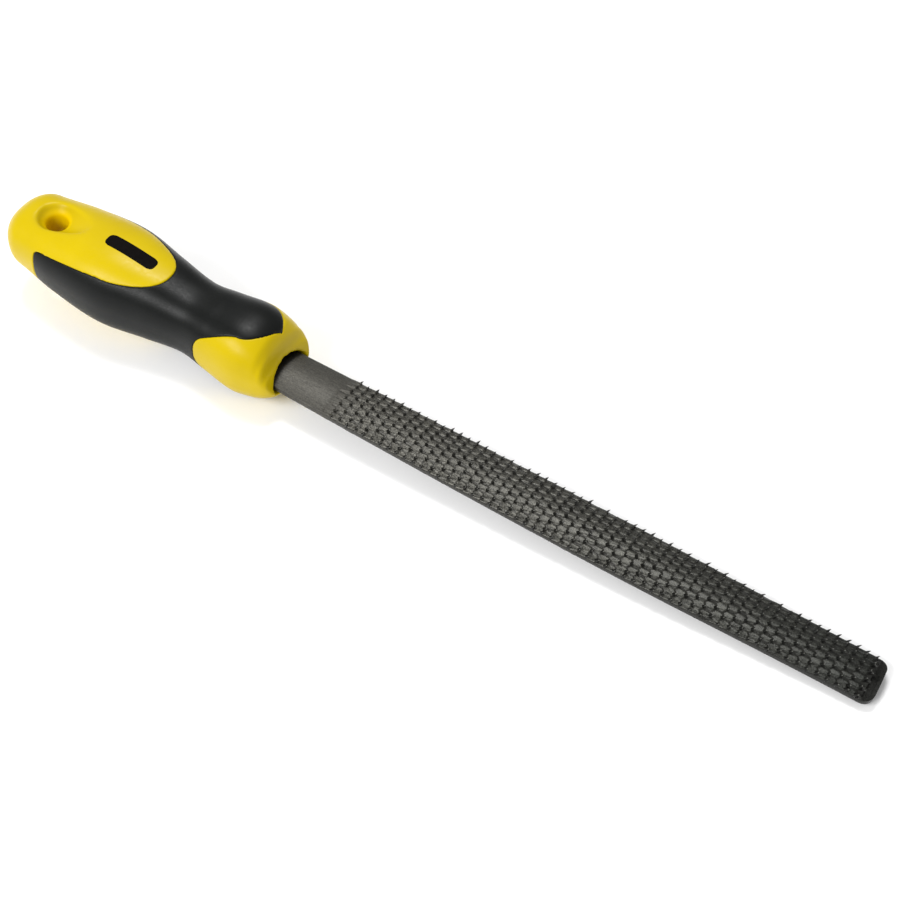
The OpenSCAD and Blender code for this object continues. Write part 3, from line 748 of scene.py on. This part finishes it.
def blade_steel():
    """Brushed shank, grainy teeth darker to the tip, painted shade in the pits, the gaps and on the thorns,
    their points lighter with wear and a painted highlight, and painted shade where the blade enters the
    mouth.
    """
    n = Nodes("blade_steel")
    split = n.add("ShaderNodeSeparateXYZ")
    n.link(n.coord, split.inputs["Vector"])
    at = split.outputs["X"]
    along = n.remap(at, (mouth_x + first_row - 4) * MM, (mouth_x + first_row + 4) * MM, 0.0, 1.0)
    to_tip = n.remap(at, (mouth_x + 20) * MM, tip_x * MM, 0.0, 1.0)
    # Painted shade: the blade is darkened where it enters the mouth, standing in for the shadow under the
    # mouth's rim.
    scale = n.remap(at, (mouth_x - 5) * MM, (mouth_x - 1.6) * MM, 1.0, 0.0)
    speckle = n.noise(2200, 3, 0.6)
    grain = n.noise(2000, 5, 0.75)
    brush = n.noise(260, 4, 0.6, stretch=(1.0, 14.0, 1.0))
    shank = n.ramp(speckle, (0.3, srgb(48, 47, 43)), (0.7, srgb(80, 78, 72)))
    shank = n.mixed(0.4, shank, n.ramp(brush, (0.35, srgb(42, 41, 38)), (0.65, srgb(80, 78, 72))))
    heel_tooth = n.ramp(grain, (0.38, srgb(28, 27, 25)), (0.66, srgb(106, 104, 96)))
    tip_tooth = n.ramp(grain, (0.38, srgb(13, 14, 12)), (0.66, srgb(48, 50, 45)))
    tooth = n.mixed(to_tip, heel_tooth, tip_tooth)
    height = n.add("ShaderNodeAttribute", attribute_name="relief").outputs["Fac"]
    # Painted shade: the low gaps between the pads are darkened.
    tooth = n.mixed(n.remap(height, 0.04, 0.2, 0.55, 0.0), tooth, srgb(26, 25, 23))
    # Painted shade: the pits in front of the pads are darkened.
    pit_painted_shade = n.remap(height, -0.3, 0.0, 1.0, 0.0)
    tooth = n.mixed(pit_painted_shade, tooth, srgb(16, 16, 14))
    # Painted shade and highlight: the thorns are darkened on their sides, and their very points are lighter,
    # partly as wear and partly as a painted highlight.
    points = n.remap(height, 0.5, 1.0, 0.0, 0.85)
    up_thorn = n.remap(height, 1.0, 2.0, 0.0, 1.0)
    shades = (0.0, srgb(14, 14, 13)), (0.7, srgb(22, 22, 20)), (1.0, srgb(120, 120, 114))
    thorn_painted_shade_and_highlight = n.ramp(up_thorn, *shades)
    tooth = n.mixed(points, tooth, thorn_painted_shade_and_highlight)
    # The painted shade where the blade enters the mouth is laid over the shank and the teeth.
    colour = n.mixed(scale, n.mixed(along, shank, tooth), srgb(18, 16, 14))
    n.link(colour, n.shader.inputs["Base Color"])
    n.shader.inputs["Metallic"].default_value = 0.45
    n.shader.inputs["Specular IOR Level"].default_value = 0.3
    gloss = n.add("ShaderNodeMath", operation="ADD")
    n.link(n.remap(grain, 0.3, 0.7, 0.0, 0.22), gloss.inputs[0])
    n.link(n.remap(along, 0.0, 1.0, 0.34, 0.22), gloss.inputs[1])
    n.link(gloss.outputs["Value"], n.shader.inputs["Roughness"])
    n.bump((speckle, 0.35, 0.0001), (grain, 0.3, 0.00015), (brush, 0.12, 0.0001))
    return n.mat


def dark_plastic(name, low, high, rough):
    n = Nodes(name)
    n.link(n.ramp(n.noise(400, 4), (0.3, low), (0.7, high)), n.shader.inputs["Base Color"])
    n.link(n.remap(n.noise(1400, 3), 0.3, 0.7, rough - 0.06, rough + 0.06), n.shader.inputs["Roughness"])
    n.bump((n.noise(2400, 3), 0.15, 0.0001))
    n.shader.inputs["Specular IOR Level"].default_value = 0.05
    return n.mat


def floor_paper():
    n = Nodes("floor_paper")
    colour = n.ramp(n.noise(30, 3), (0.3, srgb(248, 248, 248)), (0.7, srgb(252, 252, 252)))
    n.link(colour, n.shader.inputs["Base Color"])
    n.shader.inputs["Roughness"].default_value = 0.9
    n.shader.inputs["Specular IOR Level"].default_value = 0.1
    return n.mat


def give(obj, material):
    """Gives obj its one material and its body."""
    obj.data.materials.clear()
    obj.data.materials.append(material)
    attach(obj, "root")


# ---------------------------------------------------------------- the pieces
yellow, rubber, steel = yellow_plastic(), grip_rubber(), blade_steel()
voxel = 0.3 * MM

shell = handle_piece("hard_shell", False)
cut(shell, hole_cutter(), scoop_cutter(1), scoop_cutter(-1), lean_cutter(), mouth_cutter())
mouth_lip = (np.array([mouth_x - 1, 0, 2.5 + flat_z]) * MM, np.array([9, 20, 14]) * MM, 26)
hole_lips = [
    (np.array([4, 0, side * 12 - 1]) * MM, np.array([20, 12, 11]) * MM, 120) for side in (1, -1)
]
soften(shell, voxel, 5, [mouth_lip] + hole_lips)
give(shell, yellow)
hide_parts("handle_shell")

grip = handle_piece("rubber_grip", True)
soften(grip, voxel, 4)
give(grip, rubber)
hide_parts("soft_grip")

bar = make_bar(shell)
give(bar, dark_plastic("print_ink", srgb(6, 4, 3), srgb(10, 7, 6), 0.7))
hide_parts("print_bar")

blade = make_blade()
give(blade, steel)
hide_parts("blade")

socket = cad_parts["tang_socket"]
# The tang socket's near-black colour is painted shade for the dark inside of the mouth.
socket.data.materials.clear()
socket.data.materials.append(dark_plastic("socket_plastic", srgb(14, 14, 14), srgb(24, 24, 23), 0.6))

# ---------------------------------------------------------------- studio
# The floor leans so that the handle and the blade's tip both touch it.
tip_run, floor_gap = 6 * MM, 0.2 * MM
touches = np.array([obj.matrix_world @ v.co for obj in (shell, grip, blade) for v in obj.data.vertices])
tip_foot = min((p for p in touches if p[0] > tip_x * MM - tip_run), key=lambda p: p[2])
rear = touches[touches[:, 0] < mouth_x * MM]
floor_tilt = np.arctan2(tip_foot[2] - rear[:, 2], tip_foot[0] - rear[:, 0]).max()
bpy.ops.mesh.primitive_plane_add(size=12, location=(tip_foot[0], 0, tip_foot[2] - floor_gap))
floor = bpy.context.object
floor.name = "studio_floor"
floor.rotation_euler = (0, -floor_tilt, 0)
floor.data.materials.append(floor_paper())


def softbox(name, place, aim, size, power):
    light = bpy.data.lights.new(name, "AREA")
    light.shape, light.size, light.size_y = "RECTANGLE", *size
    light.energy = power
    obj = bpy.data.objects.new(name, light)
    bpy.context.scene.collection.objects.link(obj)
    obj.location = place
    obj.rotation_euler = (Vector(aim) - Vector(place)).to_track_quat("-Z", "Y").to_euler()


aim = Vector((0.1459, 0.0096, -0.0118))
softbox("key", (-0.12, 0.27, 0.92), aim, (0.34, 0.24), 6)
softbox("fill", (-0.2, -0.75, 0.7), aim, (0.6, 0.35), 10)

world = bpy.data.worlds.new("studio")
bpy.context.scene.world = world
bpy.context.scene.view_settings.view_transform = "Standard"
world.use_nodes = True
background = world.node_tree.nodes["Background"]
background.inputs["Color"].default_value = (1, 1, 1, 1)
background.inputs["Strength"].default_value = 0.52


# ---------------------------------------------------------------- camera
IMAGE_PX, SENSOR = 900, 36


def place_camera(azimuth, elevation, roll, distance, lens_px, shift_px):
    """Looks at aim from the given direction. Lens and shift are in pixels of the picture."""
    a, e, t = (math.radians(v) for v in (azimuth, elevation, roll))
    back = Vector((math.cos(e) * math.sin(a), -math.cos(e) * math.cos(a), math.sin(e)))
    right = Vector((0, 0, 1)).cross(back).normalized()
    up = back.cross(right)
    right, up = math.cos(t) * right + math.sin(t) * up, math.cos(t) * up - math.sin(t) * right
    data = bpy.data.cameras.new("camera")
    data.sensor_width = SENSOR
    data.lens = SENSOR * lens_px / IMAGE_PX
    data.clip_start, data.clip_end = 0.01, 20
    data.shift_x, data.shift_y = (v / IMAGE_PX for v in shift_px)
    cam = bpy.data.objects.new("camera", data)
    bpy.context.scene.collection.objects.link(cam)
    matrix = Matrix((right, up, back)).transposed().to_4x4()
    matrix.translation = aim + back * distance
    cam.matrix_world = matrix
    bpy.context.scene.camera = cam


place_camera(azimuth=24.83, elevation=54.0, roll=7.37, distance=0.458, lens_px=1470, shift_px=(-6.2, -5.3))
